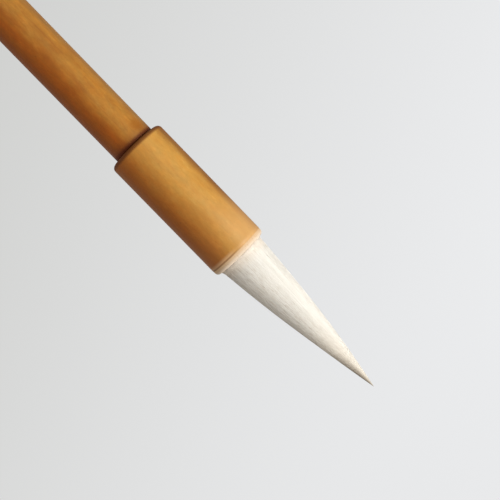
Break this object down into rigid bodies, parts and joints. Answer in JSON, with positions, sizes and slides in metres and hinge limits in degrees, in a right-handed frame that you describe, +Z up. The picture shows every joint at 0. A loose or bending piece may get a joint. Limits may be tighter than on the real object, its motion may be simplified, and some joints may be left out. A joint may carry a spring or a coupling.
{
  "type": "calligraphy brush",
  "caption": "Bamboo calligraphy brush: a round bamboo handle glued into a wider bamboo collar that holds a pointed white hair tuft, with a domed end plug drilled for a hanging loop.",
  "frame": {"origin": "centre of the loop hole's mouth, at the very top of the end plug", "axes": "+Z up along the brush's axis, out of the loop hole; the tuft points down, and bends in the XZ plane"},
  "size_m": [0.02, 0.02, 0.29],
  "materials": {
    "handle_bamboo": "satin",
    "plug_wood": "satin",
    "collar_bamboo": "satin",
    "rosin": "gloss",
    "binding_thread": "matte",
    "glue": "gloss",
    "inner_hair": "matte",
    "cover_hair": "matte"
  },
  "bodies": {
    "brush": {"handle": "handle_bamboo", "end_plug": "plug_wood", "collar": "collar_bamboo", "rosin_seal": "rosin", "root_binding": "binding_thread", "root_glue": "glue", "hair_root": "inner_hair"},
    "tuft": {"hair_core": "inner_hair", "hair_lining": "inner_hair", "hair_cover": "cover_hair"}
  },
  "joints": [
    {"name": "tuft_bend", "type": "hinge", "parent": "brush", "child": "tuft", "pos_m": [0, 0, -0.233], "axis": [0, 1, 0], "range_deg": [-40, 40], "stiffness_Nm_per_rad": 0.012}
  ]
}
